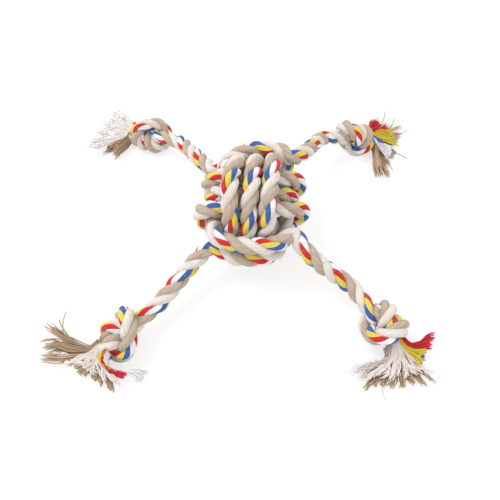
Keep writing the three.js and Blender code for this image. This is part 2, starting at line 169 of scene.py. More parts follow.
# %% Loose ropes of the ball
loose_share = 1.45
exit_reach = 3.25 * pitch
knot_reach = 0.125
arms = {
    "front_left": dict(bearing=227, reach=0.99, rise=-0.4, bow=-0.3),
    "front_right": dict(bearing=315.6, reach=0.955, rise=0.72, bow=-0.85),
    "back_left": dict(bearing=132.6, reach=1.055, rise=0.62, bow=0),
    "back_right": dict(bearing=45.8, reach=1.03, rise=1.7, bow=-0.3),
}
arms["front_left"] |= dict(roll=20, tilt=1, turn=-2, knot_z=0.01352)
arms["front_right"] |= dict(roll=200, tilt=5, turn=-15, knot_z=0.0129542)
arms["back_left"] |= dict(roll=110, tilt=12, turn=17, knot_z=0.0143092)
arms["back_right"] |= dict(roll=290, tilt=18, turn=-26, knot_z=0.0147314)
for arm in arms.values():
    bearing = math.radians(arm["bearing"])
    arm["out"] = np.array([math.cos(bearing), math.sin(bearing), 0])
    arm["exit"] = arm["out"] * exit_reach + [0, 0, arm["rise"] * rope_diameter]
    arm["knot"] = arm["out"] * arm["reach"] * knot_reach + [*ball_middle[:2], arm["knot_z"]]


def rotation(axis, degrees):
    """The matrix of a right-handed turn about one of the three axes, 0, 1 or 2."""
    c, s = math.cos(math.radians(degrees)), math.sin(math.radians(degrees))
    i, j = (axis + 1) % 3, (axis + 2) % 3
    matrix = np.eye(3)
    matrix[i, i] = matrix[j, j] = c
    matrix[i, j], matrix[j, i] = -s, s
    return matrix


def loose_winding(half_shares, start, sense, drift, end_shares, axes):
    """Three turns: an angle that runs on, a radius 1 / (|cos/a|^3 + |sin/b|^3)^(1/3), and a
    middle line that drifts sideways by a pitch a turn. axes say where side, a and b point."""
    t = np.linspace(0, 1, 145)
    angle = start + sense * t * 6 * math.pi
    a, b = half_shares[0] * pitch, half_shares[1] * pitch
    radius = (np.abs(np.cos(angle) / a) ** 3 + np.abs(np.sin(angle) / b) ** 3) ** (-1 / 3)
    side = drift * pitch * 3 * (t - 0.5)
    points = np.stack([side, radius * np.cos(angle), radius * np.sin(angle)], axis=1) @ np.array(axes)
    points *= loose_share
    points[[0, -1]] = np.array(end_shares) * pitch
    return points


def round_curve(points, count):
    """A centripetal Catmull-Rom curve: between two points the knots are as far apart as the
    square root of the distance, and six straight blends of them give each place."""
    ends = [2 * points[0] - points[1], 2 * points[-1] - points[-2]]
    p = np.concatenate([ends[:1], points, ends[1:]])
    knots = np.concatenate([[0], np.cumsum(np.linalg.norm(np.diff(p, axis=0), axis=1) ** 0.5)])
    t = np.linspace(knots[1], knots[-2], count)
    i = np.clip(np.searchsorted(knots, t, side="right") - 1, 1, len(p) - 3)
    k = [knots[i + m] for m in (-1, 0, 1, 2)]
    q = [p[i + m] for m in (-1, 0, 1, 2)]

    def blend(a, b, from_knot, to_knot):
        share = ((t - from_knot) / (to_knot - from_knot))[:, None]
        return a * (1 - share) + b * share

    first = [blend(q[m], q[m + 1], k[m], k[m + 1]) for m in range(3)]
    second = [blend(first[m], first[m + 1], k[m], k[m + 2]) for m in range(2)]
    return blend(second[0], second[1], k[1], k[2])


def loose_bight(front, back, side):
    """In at the front corner, round the far side of the ball and out at the back corner."""
    forward = np.array([[1, -3], [-1, -3], [-1.9, -2], [-2, -1]]) * [side, 1] * pitch * loose_share
    home = (forward * [1, -1])[::-1]
    low = np.full((4, 1), front["exit"][2])
    high = np.full((4, 1), back["exit"][2])
    inner = [np.hstack([forward, low]), np.hstack([home, high])]
    points = np.concatenate([[front["exit"]], *inner, [back["exit"]]])
    return round_curve(points, 600)


over_axes = np.eye(3) @ rotation(2, -15).T
side_axes = [[0, 1, 0], [1, 0, 0], [0, 0, 1]]
loose_ropes = [
    loose_winding((2, 2.5), math.pi, 1, -1, [[1.1, -1.3, 0.3], [-1.1, -1.3, -0.3]], over_axes),
    loose_winding((3, 1.5), -math.pi / 2, -1, 1, [[0.2, -1, -0.5], [0.2, 1, 0.5]], side_axes),
    loose_bight(arms["front_right"], arms["back_right"], 1),
    loose_bight(arms["front_left"], arms["back_left"], -1),
]
over_line, side_line, left_line, right_line = [line + ball_middle for line in draw_tight(loose_ropes, 500)]
print("turns over", len(over_line), "beads, turns round the sides", len(side_line), "beads")

# %% [markdown]
# Each arm has one overhand knot. A formula of powers of t traces the loose knot, and drawing
# it tight between two held ends gives the fat round knot of the real toy. The same line is
# used four times, rolled over by a different angle, so that no two knots look alike.

# %% Knot line
squeeze_share = 0.75
knot_entry = 2.3 * pitch * squeeze_share
knot_exit = 1.85 * pitch * squeeze_share


def smoothstep(x, low, high):
    """0 below low, 1 above high, and 3 t^2 - 2 t^3 between them."""
    t = np.clip((x - low) / (high - low), 0, 1)
    return t * t * (3 - 2 * t)


def tight_knot():
    """x = t^3 - 3t, y = t^4 - 4t^2 + 1.5, z = (t^5 - 10t) / 8, turned so that its ends lie on
    the x axis, drawn tight, cut to length and led straight in and out."""
    t = np.linspace(-2.15, 2.15, 81)
    loose = np.stack([t ** 3 - 3 * t, t ** 4 - 4 * t ** 2 + 1.5, (t ** 5 - 10 * t) / 8], axis=1) * pitch
    swing = math.degrees(math.atan2(loose[-1, 2], loose[-1, 0]))
    loose = loose @ rotation(1, swing).T
    ends = np.array([[-2.9, 0.38, 0], [2.9, 0.38, 0]]) * pitch
    line = draw_tight([np.concatenate([ends[:1], loose, ends[1:]])], 700)[0]
    line = line[(line[:, 0] * squeeze_share > -knot_entry) & (line[:, 0] * squeeze_share < knot_exit)]
    count = len(line)
    run = np.minimum(np.arange(count), count - 1 - np.arange(count)) * bead_step
    bent_share = smoothstep(run, 0.3 * rope_diameter, 0.75 * rope_diameter)
    line[:, 1] = (line[:, 1] - ends[0, 1]) * bent_share
    line[:, 2] *= bent_share
    line *= squeeze_share
    return np.concatenate([[[-knot_entry, 0, 0]], line, [[knot_exit, 0, 0]]])


knot_line = tight_knot()
print("knot line", len(knot_line), "points")

# %% [markdown]
# An arm leaves the ball outwards, sinks towards the floor and runs into its knot along the
# knot's own axis. A cubic Bezier curve says just that with four points. Knot, arm, bight, arm
# and knot are one line here. On the toy that rope must also run through the ball's windings.

# %% Rope lines
seat_gap = 0.0003
straight_run = 0.006
leave_slope = 0.25
lead_share = 0.55
knot_stretch = np.array([0.87, 1.06, 1.06])
fine_step = 0.0007


def arm_points(arm):
    """The arm from the ball to the knot: (1-t)^3 a + 3(1-t)^2 t b + 3(1-t) t^2 c + t^3 d, and
    the knot in its place. along is the way the knot points."""
    turned = rotation(2, arm["bearing"] + arm["turn"]) @ rotation(1, arm["tilt"])
    along = turned @ [1, 0, 0]
    knot = (knot_line * knot_stretch) @ (turned @ rotation(0, arm["roll"])).T
    knot = knot + arm["knot"]
    start = arm["exit"] + ball_middle
    end = arm["knot"] - along * (knot_entry + seat_gap + straight_run)
    span = np.linalg.norm(end - start) / 3
    across = np.array([-arm["out"][1], arm["out"][0], 0]) * arm["bow"] * rope_diameter
    first = start + arm["out"] * span - np.array([0, 0, leave_slope * span]) + across
    second = end - along * span * lead_share
    t = np.linspace(0, 1, 40)[:, None]
    line = (1 - t) ** 3 * start + 3 * (1 - t) ** 2 * t * first + 3 * (1 - t) * t ** 2 * second + t ** 3 * end
    arm["along"] = along
    return line, knot


def rounded(points):
    """A fine even line through the points: a Catmull-Rom curve, then four passes that set each
    point to a quarter of both neighbours and half of itself."""
    line = evenly(round_curve(points, 12 * len(points)), fine_step)
    for _ in range(4):
        line[1:-1] = (line[:-2] + 2 * line[1:-1] + line[2:]) / 4
    return line


def length_of(line):
    return np.linalg.norm(np.diff(line, axis=0), axis=1).sum()


def whole_rope(near, far, bight):
    """One rope from tassel to tassel, and the distances along it at which its arms start."""
    near_line, near_knot = arm_points(arms[near])
    far_line, far_knot = arm_points(arms[far])
    near_part = np.concatenate([near_knot[::-1], near_line[::-1]])
    far_part = np.concatenate([far_line, far_knot])
    line = rounded(evenly(np.concatenate([near_part, bight[1:-1], far_part]), bead_step / 2))
    run = np.concatenate([[0], np.cumsum(np.linalg.norm(np.diff(line, axis=0), axis=1))])
    starts = []
    for name in (near, far):
        exit_place = arms[name]["exit"] + ball_middle
        starts.append(run[np.linalg.norm(line - exit_place, axis=1).argmin()])
    print(near, "to", far, "rope is", round(run[-1] * 1000), "mm long")
    return dict(line=line, run=run, starts=starts)


right_rope = whole_rope("front_right", "back_right", left_line)
left_rope = whole_rope("front_left", "back_left", right_line)

# %% [markdown]
# A laid rope is three strands that each run round the rope's axis as a helix. To carry a
# section along a bent line without twisting it, each point needs a side direction that turns
# as little as it can. The side direction of one point is flattened onto the next point's
# cross plane, which on short steps is a twist-free frame.

# %% Frames along a line


def twist_free(line):
    """(along, side, other side) for each point. side[i] = side[i-1] less its share along the
    line there, made unit length."""
    along = np.gradient(line, axis=0)
    along /= np.linalg.norm(along, axis=1)[:, None]
    side = np.empty_like(line)
    last = np.cross(along[0], [0.3, 0.1, 1])
    for i, way in enumerate(along):
        last = last - way * (last @ way)
        last /= math.sqrt(last @ last)
        side[i] = last
    return along, side, np.cross(along, side)


# %% [markdown]
# The rope is Z-laid: its strands climb to the right, one full turn in about 2.6 diameters.
# The yarns in a strand are twisted the other way, and so hard that the coloured bands pass the
# rope's own direction and lean 17 degrees to its other side. So a strand's skin has its own
# turn, kept in the UV map: U counts turns round the strand in the yarns' own direction and V
# counts centimetres along it. Skins are worked out for a whole rope and then cut, so that
# bands and grooves run on from one piece to the next.

# %% Strand surfaces
lay_length = 0.0312
strand_radius = 0.00295
strand_offset = 0.00305
yarn_turn_length = 0.0166
strand_sides = 28
swell_lengths = (0.0043, 0.0017)
fibres_per_ring = 2
fibre_steps = 4
fibre_radius = 0.00005
fibre_lengths = (0.0012, 0.0035)
luck = np.random.default_rng(4)


def strand_skin(line, frames, turn, first_band, size_share):
    """Points of one strand's skin, rings by sides, and its UV map. The strand's own line is
    line + offset * (cos(turn) side + sin(turn) other), and a point on its skin is that plus
    radius * (cos(a) outwards + sin(a) sideways). Offset and radius are times size_share, and
    where the rope rests on the floor it is flat."""
    _, side, other = frames
    outwards = np.cos(turn)[:, None] * side + np.sin(turn)[:, None] * other
    middle = line + strand_offset * size_share[:, None] * outwards
    way = np.gradient(middle, axis=0)
    way /= np.linalg.norm(way, axis=1)[:, None]
    outwards = outwards - way * (outwards * way).sum(axis=1)[:, None]
    outwards /= np.linalg.norm(outwards, axis=1)[:, None]
    sideways = np.cross(way, outwards)
    run = np.concatenate([[0], np.cumsum(np.linalg.norm(np.diff(middle, axis=0), axis=1))])
    angle = np.linspace(0, 2 * math.pi, strand_sides + 1)
    swell = 1 + 0.012 * np.sin(run / swell_lengths[0]) + 0.01 * np.sin(run / swell_lengths[1] + 1)
    radius = strand_radius * (swell * size_share)[:, None, None]
    ring = np.cos(angle)[None, :, None] * outwards[:, None] + np.sin(angle)[None, :, None] * sideways[:, None]
    points = middle[:, None] + radius * ring
    points[:, :, 2] = np.maximum(points[:, :, 2], 0)
    u = angle[None, :] / (2 * math.pi) + (run / yarn_turn_length)[:, None] + first_band
    v = np.broadcast_to((run * 100)[:, None], u.shape)
    return points, u, v


def rope_skins(line, turn, first_band, size_share):
    """The skins of the three strands, a third of a turn apart."""
    frames = twist_free(line)
    thirds = turn + np.arange(3)[:, None] * 2 * math.pi / 3
    return [strand_skin(line, frames, third, first_band, size_share) for third in thirds]


def tube_faces(rings, sides, first):
    """Quads between rings, one row per quad, and the corners' places in a grid that has one
    more column than the ring has points, so that a UV map can close."""
    r, s = np.meshgrid(np.arange(rings - 1), np.arange(sides), indexing="ij")
    corners = [(r, s), (r, s + 1), (r + 1, s + 1), (r + 1, s)]
    faces = np.stack([first + a * sides + b % sides for a, b in corners], axis=-1).reshape(-1, 4)
    places = np.stack([a * (sides + 1) + b for a, b in corners], axis=-1).reshape(-1, 4)
    return faces, places


def make_mesh(name, points, faces, caps, uv, slots):
    """A mesh from whole arrays: points, quads, end caps as loops of points, the UV of each
    corner and the material number of each face. Caps stay flat, so that a joint between two
    pieces of a rope doesn't show."""
    mesh = bpy.data.meshes.new(name)
    sizes = np.concatenate([np.full(len(faces), 4), [len(cap) for cap in caps]]).astype(np.int32)
    corners = np.concatenate([faces.ravel(), *caps]).astype(np.int32)
    mesh.vertices.add(len(points))
    mesh.vertices.foreach_set("co", points.astype(np.float32).ravel())
    mesh.loops.add(len(corners))
    mesh.loops.foreach_set("vertex_index", corners)
    mesh.polygons.add(len(sizes))
    mesh.polygons.foreach_set("loop_start", (np.cumsum(sizes) - sizes).astype(np.int32))
    mesh.polygons.foreach_set("material_index", slots.astype(np.int32))
    mesh.polygons.foreach_set("use_smooth", np.arange(len(sizes)) < len(faces))
    layer = mesh.uv_layers.new(name="UVMap")
    layer.data.foreach_set("uv", uv.astype(np.float32).ravel())
    mesh.update(calc_edges=True)
    mesh.validate()
    piece = bpy.data.objects.new(name, mesh)
    bpy.context.scene.collection.objects.link(piece)
    return piece


def yarn_tubes(name, paths, radius, look, sides):
    """Many thin closed tubes as one mesh. paths is yarns by steps by 3. A section is
    radius * (cos(a) side + sin(a) up), with side level and square to the yarn, and it
    narrows over the last step. U is the yarn's number plus its turn, V the share run."""
    count, steps = paths.shape[:2]
    way = np.gradient(paths, axis=1)
    way /= np.linalg.norm(way, axis=2)[..., None]
    side = np.cross([0, 0, 1], way)
    side /= np.linalg.norm(side, axis=2)[..., None]
    up = np.cross(way, side)
    angle = np.linspace(0, 2 * math.pi, sides + 1)
    thick = radius[:, None] * np.where(np.arange(steps) == steps - 1, 0.55, 1)
    cos, sin = np.cos(angle)[:, None], np.sin(angle)[:, None]
    ring = cos * side[:, :, None] + sin * up[:, :, None]
    grid = paths[:, :, None] + thick[..., None, None] * ring
    share = np.linspace(0, 1, steps)
    u = np.arange(count)[:, None, None] + (angle / (2 * math.pi))[None, None, :] * 0.999
    u = np.broadcast_to(u, (count, steps, sides + 1))
    v = np.broadcast_to(share[None, :, None], u.shape)
    one_faces, one_places = tube_faces(steps, sides, 0)
    offsets = np.arange(count)[:, None, None] * steps * sides
    grid_offsets = np.arange(count)[:, None, None] * steps * (sides + 1)
    faces = (one_faces[None] + offsets).reshape(-1, 4)
    places = (one_places[None] + grid_offsets).reshape(-1)
    uv = np.stack([u.ravel()[places], v.ravel()[places]], axis=-1)
    ring_numbers = np.arange(sides)
    starts = (offsets[:, 0] + ring_numbers[::-1]).tolist()
    ends = (offsets[:, 0] + ring_numbers + (steps - 1) * sides).tolist()
    cap_u = np.repeat(np.arange(count) + 0.5, 2 * sides)
    cap_v = np.tile(np.repeat([0.0, 1.0], sides), count)
    caps = [cap for pair in zip(starts, ends) for cap in pair]
    uv = np.concatenate([uv, np.stack([cap_u, cap_v], axis=-1)])
    points = grid[:, :, :-1].reshape(-1, 3)
    piece = make_mesh(name, points, faces, caps, uv, np.zeros(len(faces) + len(caps)))
    piece.data.materials.append(look)
    return piece


def fuzz_paths(skins, kept):
    """Short stray fibres: each starts at a random place on a skin, leaves along the strand and
    bends away from it by its lift times the square of the share run."""
    grids = np.stack([grid[kept][:, :-1] for grid, _, _ in skins])
    count = int(kept.sum() * fibres_per_ring)
    strand = luck.integers(0, 3, count)
    ring = luck.integers(1, grids.shape[1] - 1, count)
    spot = luck.integers(0, strand_sides, count)
    start = grids[strand, ring, spot]
    along = (grids[strand, ring + 1, spot] - start) * np.sign(luck.uniform(-1, 1, count))[:, None]
    along /= np.linalg.norm(along, axis=1)[:, None]
    away = start - grids[strand, ring].mean(axis=1)
    away /= np.linalg.norm(away, axis=1)[:, None]
    across = np.cross(along, away) * luck.uniform(-0.8, 0.8, count)[:, None]
    length = luck.uniform(*fibre_lengths, count)[:, None, None]
    lift = luck.uniform(0.2, 0.75, count)[:, None, None]
    share = np.linspace(0, 1, fibre_steps)[None, :, None]
    ways = (along[:, None] + across[:, None] * share) * share + away[:, None] * lift * share ** 2
    paths = start[:, None] + ways * length
    paths[:, :, 2] = np.maximum(paths[:, :, 2], fibre_radius)
    return paths


def rope_piece(name, skins, kept):
    """The kept rings of three skins as closed tubes, each with its own material."""
    points, faces, caps, uvs, slots, cap_uvs, cap_slots = [], [], [], [], [], [], []
    rings = int(kept.sum())
    for k, (grid, u, v) in enumerate(skins):
        grid, u, v = grid[kept], u[kept], v[kept]
        first = k * rings * strand_sides
        quads, places = tube_faces(rings, strand_sides, first)
        points.append(grid[:, :-1].reshape(-1, 3))
        faces.append(quads)
        uvs.append(np.stack([u.ravel()[places], v.ravel()[places]], axis=-1).reshape(-1, 2))
        slots.append(np.full(len(quads), k))
        ring = first + np.arange(strand_sides)
        caps += [ring[::-1], ring + (rings - 1) * strand_sides]
        cap_uvs.append(np.stack([u[0, -2::-1], v[0, -2::-1]], axis=-1))
        cap_uvs.append(np.stack([u[-1, :-1], v[-1, :-1]], axis=-1))
        cap_slots += [k, k]
    uv = np.concatenate(uvs + cap_uvs)
    slot_numbers = np.concatenate([*slots, cap_slots])
    piece = make_mesh(name, np.concatenate(points), np.concatenate(faces), caps, uv, slot_numbers)
    for look in rope_looks:
        piece.data.materials.append(look)
    return piece


# %% [markdown]
# Shader maths reads best as plain sums. A small class wraps a node's output so that adding or
# multiplying two of them makes the Math node, and one method makes any other node.

# %% Shader maths


class Wire:
    """An output of a node that can be used in sums."""

    def __init__(self, look, socket):
        self.look = look
        self.socket = socket

    def maths(self, operation, a, b):
        return self.look.node("ShaderNodeMath", {"operation": operation}, {0: a, 1: b})

    def __add__(self, other):
        return self.maths("ADD", self, other)

    def __sub__(self, other):
        return self.maths("SUBTRACT", self, other)

    def __rsub__(self, other):
        return self.maths("SUBTRACT", other, self)

    def __mul__(self, other):
        return self.maths("MULTIPLY", self, other)

    def __pow__(self, other):
        return self.maths("POWER", self, other)

    def __abs__(self):
        return self.maths("ABSOLUTE", self, 0)

    __radd__ = __add__
    __rmul__ = __mul__


class Look:
    """The nodes of a material or a world, and its main shader."""

    def __init__(self, owner, shader="Principled BSDF"):
        owner.use_nodes = True
        self.owner = owner
        self.tree = owner.node_tree
        self.shader = self.tree.nodes[shader]

    def node(self, kind, settings, inputs, output=0):
        """A node of that type: settings first, a ramp's stops among them, then its inputs."""
        made = self.tree.nodes.new(kind)
        for key, value in settings.items():
            if key == "stops":
                ramp = made.color_ramp
                ramp.interpolation = "CONSTANT"
                for place, colour in value[1:]:
                    ramp.elements.new(place).color = colour
                ramp.elements[0].color = value[0][1]
                ramp.elements.remove(ramp.elements[-1])
            else:
                setattr(made, key, value)
        for key, value in inputs.items():
            if isinstance(value, Wire):
                self.tree.links.new(value.socket, made.inputs[key])
            else:
                made.inputs[key].default_value = value
        return Wire(self, made.outputs[output])

    def feed(self, **inputs):
        """Sets or links inputs of the main shader, a name's spaces as underscores."""
        for key, value in inputs.items():
            socket = self.shader.inputs[key.replace("_", " ")]
            if isinstance(value, Wire):
                self.tree.links.new(value.socket, socket)
            else:
                socket.default_value = value


def colour(red, green, blue):
    """Screen values from 0 to 255 as the linear colour that a shader works in."""
    shares = np.array([red, green, blue]) / 255
    linear = np.where(shares <= 0.04045, shares / 12.92, ((shares + 0.055) / 1.055) ** 2.4)
    return (*linear.tolist(), 1.0)


def yarn_place(look):
    """U and V of the UV map."""
    uv = look.node("ShaderNodeUVMap", {"uv_map": "UVMap"}, {})
    return [look.node("ShaderNodeSeparateXYZ", {}, {0: uv}, k) for k in (0, 1)]


def maths(look, operation, value):
    """A sum of one value, for what Python has no sign for."""
    return look.node("ShaderNodeMath", {"operation": operation}, {0: value})


def noise(look, place, scale, detail):
    return look.node("ShaderNodeTexNoise", {}, {"Vector": place, "Scale": scale, "Detail": detail})


def chance_of(look, number):
    """A random value from 0 to 1 for each whole number."""
    return look.node("ShaderNodeTexWhiteNoise", {"noise_dimensions": "1D"}, {"W": number})


def cotton(look, base, shade, height, strength, distance):
    """Matt cotton: its colour times a grey shade, and a bump of that height."""
    grey = look.node("ShaderNodeCombineColor", {}, {0: shade, 1: shade, 2: shade})
    mix = {"data_type": "RGBA", "blend_type": "MULTIPLY"}
    painted = look.node("ShaderNodeMix", mix, {0: 1, 6: base, 7: grey}, 2)
    bump = look.node("ShaderNodeBump", {}, {"Strength": strength, "Distance": distance, "Height": height})
    look.feed(Base_Color=painted, Roughness=0.92, Normal=bump, Sheen_Weight=0.15, Specular_IOR_Level=0.2)
    return look.owner


# %% [markdown]
# Cotton strand is matt, a little fuzzy and never one colour. The fine yarns leave shallow
# grooves, which are bumped and also painted darker as painted shade, the fibres catch light in
# short streaks, and the dye varies slowly. Grooves follow U, so they are sharp at any distance.
# The streaks and the slow variation are noise on a drum, (cos U, sin U, V), which closes on itself and has no
# seam.

# %% Strand materials
tan_colour = colour(199, 180, 161)
cream_colour = colour(238, 230, 222)
white_colour = colour(254, 252, 253)
blue_colour = colour(66, 106, 176)
red_colour = colour(216, 50, 56)
yellow_colour = colour(238, 218, 92)
yarns_round = 16
groove_depth = 0.0003


def strand_look(name, base, mottle_share, stops=None):
    look = Look(bpy.data.materials.new(name))
    u, v = yarn_place(look)
    x = maths(look, "COSINE", u * (2 * math.pi))
    y = maths(look, "SINE", u * (2 * math.pi))
    fibre_place = look.node("ShaderNodeCombineXYZ", {}, {0: x * 9, 1: y * 9, 2: v * 3.5})
    mottle_place = look.node("ShaderNodeCombineXYZ", {}, {0: x * 1.4, 1: y * 1.4, 2: v * 4})
    fibre = noise(look, fibre_place, 1, 3)
    mottle = noise(look, mottle_place, 1, 2)
    # ridge is high on the yarns and low in the grooves between them: in the bump it is their depth, in the
    # colour it is painted shade in the grooves.
    ridge = abs(maths(look, "SINE", u * (math.pi * yarns_round))) ** 0.6
    around = maths(look, "FRACT", u)
    chance = chance_of(look, maths(look, "FLOOR", around * yarns_round))
    if stops:
        base = look.node("ShaderNodeValToRGB", {"stops": stops}, {0: around})
    # shade: painted groove shade, times fibre streaks and the dye's slow and per-yarn changes.
    shade = (ridge * 0.24 + 0.8) * (fibre * 0.5 + 0.76) * (mottle * mottle_share + (1 - mottle_share / 2))
    shade = shade * (chance * mottle_share * 0.7 + (1 - mottle_share * 0.35))
    return cotton(look, base, shade, ridge * 0.8 + fibre * 0.9, 0.8, groove_depth)


bands = [(0, yellow_colour), (0.25, red_colour), (0.5, white_colour), (0.75, blue_colour)]
tan_strand = strand_look("tan_strand", tan_colour, 0.3)
cream_strand = strand_look("cream_strand", cream_colour, 0.14)
banded_strand = strand_look("banded_strand", white_colour, 0.08, bands)
rope_looks = [banded_strand, tan_strand, cream_strand]
print("strand materials made")

# %% [markdown]
# Loose yarn is the same cotton, but each yarn has taken the dye a little differently. The UV
# map's U has the yarn's number as its whole part, so one random value per yarn is white noise
# of that whole part. A fine slanting ripple is the yarn's own twist, as a bump and as faint
# painted shade in its grooves. Each yarn is also painted darker towards its root at the knot,
# painted shade where the yarns lie bunched.

# %% Yarn materials
twist_depth = 0.0002


def yarn_look(name, base, vary_share, tip):
    look = Look(bpy.data.materials.new(name))
    u, v = yarn_place(look)
    chance = chance_of(look, maths(look, "FLOOR", u))
    fuzz = noise(look, look.node("ShaderNodeTexCoord", {}, {}, 3), 1400, 2)
    twist = maths(look, "SINE", (u * 2 + v * 26) * (2 * math.pi))
    # The twist ripple is a bump and also faint painted shade in the twist's grooves.
    shade = (chance * vary_share + (1 - vary_share * 0.6)) * (fuzz * 0.3 + 0.85) * (twist * 0.05 + 0.97)
    # Painted shade: each yarn is darker towards its root at the knot, where the yarns lie bunched together.
    shade = shade * (v ** 0.5 * 0.25 + 0.78)
    faded = look.node("ShaderNodeMix", {"data_type": "RGBA"}, {0: v ** 3 * 0.6, 6: base, 7: tip}, 2)
    return cotton(look, faded, shade, twist * 0.4 + fuzz, 0.4, twist_depth)


yarn_looks = {
    "tan": yarn_look("tan_yarn", colour(198, 168, 134), 0.34, colour(210, 188, 160)),
    "cream": yarn_look("cream_yarn", colour(245, 234, 226), 0.2, colour(250, 244, 240)),
    "pale": yarn_look("pale_yarn", colour(254, 248, 244), 0.08, colour(254, 251, 249)),
    "white": yarn_look("white_yarn", colour(248, 247, 248), 0.06, colour(248, 247, 248)),
    "blue": yarn_look("blue_yarn", colour(62, 104, 184), 0.2, colour(120, 150, 205)),
    "red": yarn_look("red_yarn", colour(220, 34, 42), 0.2, colour(226, 70, 80)),
    "yellow": yarn_look("yellow_yarn", colour(236, 212, 62), 0.2, colour(238, 220, 90)),
}
fuzz_look = yarn_look("fuzz", colour(232, 222, 210), 0.3, colour(244, 238, 232))
print(len(yarn_looks) + 1, "yarn materials")

# %% [markdown]
# The strands' turn at each corner decides where the coloured strand comes up along an arm. It
# was read off the photograph at each arm, and the run inside the ball takes up the difference
# between the two ends, half a turn at most.

# %% Rope pieces
stub_run = 0.012
root_run = stub_run + rope_radius + seat_gap
elbow_run = root_run + 0.022
split_run = (root_run + elbow_run) / 2
near_run = 0.010
bend_run = 0.007
turns_at_exit = {"front_left": 0.25, "front_right": 0.55, "back_left": 0.4, "back_right": 0.06}
bands_at_exit = {"front_left": 0.37, "front_right": 0.25, "back_left": 1.0, "back_right": 0.75}
knot_size_share = 0.93
thin_run = 0.006


def strand_turn(rope, near, far):
    """The strands' turn along a rope: one turn a lay on the arms, and between the arms the
    even rate, as near as can be to it, that joins both ends."""
    run = rope["run"]
    near_start, far_start = rope["starts"]
    near_turn, far_turn = turns_at_exit[near], turns_at_exit[far]
    wanted = (far_start - near_start) / lay_length
    turns_between = round(wanted - (far_turn - near_turn)) + (far_turn - near_turn)
    turn = near_turn + np.interp(run, [near_start, far_start], [0, turns_between])
    turn += np.minimum(0, run - near_start) / lay_length + np.maximum(0, run - far_start) / lay_length
    return turn * 2 * math.pi


def point_at(rope, run):
    return np.array([np.interp(run, rope["run"], rope["line"][:, k]) for k in range(3)])


def fuzz_piece(name, skins, kept):
    """Stray fibres over a stretch of rope."""
    paths = fuzz_paths(skins, kept)
    return yarn_tubes(name, paths, np.full(len(paths), fibre_radius), fuzz_look, 3)


def dress_rope(rope, near, far, bight):
    """One rope as five pieces, each with its fuzz: its middle rides the ball, and on each side
    a root piece runs from ball to arm and an end piece, with the knot, from arm to end.
    Pulled hard in a knot, the rope is a little thinner there."""
    line, run = rope["line"], rope["run"]
    near_start, far_start = rope["starts"]
    knot_run = length_of(knot_line)
    into_knot = knot_run - np.minimum(run, run[-1] - run)
    size_share = 1 - (1 - knot_size_share) * smoothstep(into_knot, -thin_run, thin_run)
    first_band = np.interp(run, rope["starts"], [bands_at_exit[near], bands_at_exit[far]])
    skins = rope_skins(line, strand_turn(rope, near, far), first_band[:, None], size_share)

    def kept(a, b):
        return (run >= min(a, b) - fine_step / 2) & (run <= max(a, b) + fine_step / 2)

    inside = kept(near_start - near_run, far_start + near_run)
    piece = rope_piece(bight + "_rope", skins, inside)
    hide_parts(bight)
    for part in (piece, fuzz_piece(bight + "_fuzz", skins, inside)):
        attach(part, "ball")
    for place, start, sense in ((near, near_start, -1), (far, far_start, 1)):
        end = run[-1] if sense > 0 else 0
        split = start + sense * split_run
        arm, end_name = "arm_" + place, "end_" + place
        stretch = kept(start + sense * near_run, split)
        root = rope_piece(arm + "_root", skins, stretch)
        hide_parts(arm + "_inner")
        bend = [point_at(rope, start + sense * (root_run + side * bend_run)) for side in (-1, 1)]
        for part in (root, fuzz_piece(arm + "_root_fuzz", skins, stretch)):
            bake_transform(part)
        stretch = kept(split, end)
        tail = rope_piece(arm + "_end", skins, stretch)
        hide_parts(arm + "_outer", "knot_" + place)
        fuzz = fuzz_piece(arm + "_end_fuzz", skins, stretch)
        bend = [point_at(rope, start + sense * (elbow_run + side * bend_run)) for side in (-1, 1)]
        for part in (tail, fuzz):
            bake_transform(part)
        route = line[stretch][::sense]
        route = route[np.linspace(0, len(route) - 1, 40).round().astype(int)]


dress_rope(right_rope, "front_right", "back_right", "left_bight")
dress_rope(left_rope, "front_left", "back_left", "right_bight")

windings = [("over_winding", over_line, 0.1, -0.12), ("side_winding", side_line, 0, 0)]
for name, line, first_turn, first_band in windings:
    fine = rounded(line)
    run = np.concatenate([[0], np.cumsum(np.linalg.norm(np.diff(fine, axis=0), axis=1))])
    turn = (first_turn + run / lay_length) * 2 * math.pi
    skins = rope_skins(fine, turn, first_band, np.ones(len(fine)))
    piece = rope_piece(name + "_rope", skins, run >= 0)
    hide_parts(name)
    for part in (piece, fuzz_piece(name + "_fuzz", skins, run >= 0)):
        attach(part, "ball")
    print(name, round(run[-1] * 1000), "mm,", len(piece.data.polygons), "faces")

# %% [markdown]
# Past each knot the rope is unlaid into its yarns. Every yarn is a thin tube, and a lock of
# them lies about where the CAD lock of that colour lies. Five locks, one at the front left and
# two each at the back left and back right, were turned or shortened a little after the
# photograph. A yarn starts somewhere in the rope's end,
# bends out to its own heading and sinks to the floor. Small waves, uneven lengths and a little
# gathering into wisps make it look frayed. All yarns of a lock are worked out at once, as
# arrays of yarns by steps by sides.

# %% Yarn locks
tassel_length = 0.044
fan_bend = 0.0075
settle_run = 0.012
layer_gap = 0.0008
tassel_low_top = 0.005
tassel_high_top = 0.0105
wisp_wave = 0.0013
yarn_wave = 0.0006
root_tuck = 0.0025
stray_radius = 0.0004
yarn_sides = 5
yarn_steps = 13


def side_line(root, heading, run):
    """A line that leaves straight ahead, bends evenly to its heading over fan_bend and then
    runs straight: on the bend x = r sin a and y = r (1 - cos a), with r = fan_bend / heading."""
    heading = np.where(np.abs(heading) < 1e-4, 1e-4, heading)
    bent = np.minimum(run, fan_bend)
    turned = heading * bent / fan_bend
    radius = fan_bend / heading
    rest = run - bent
    x = radius * np.sin(turned) + rest * np.cos(heading)
    y = root + radius * (1 - np.cos(turned)) + rest * np.sin(heading)
    return x, y


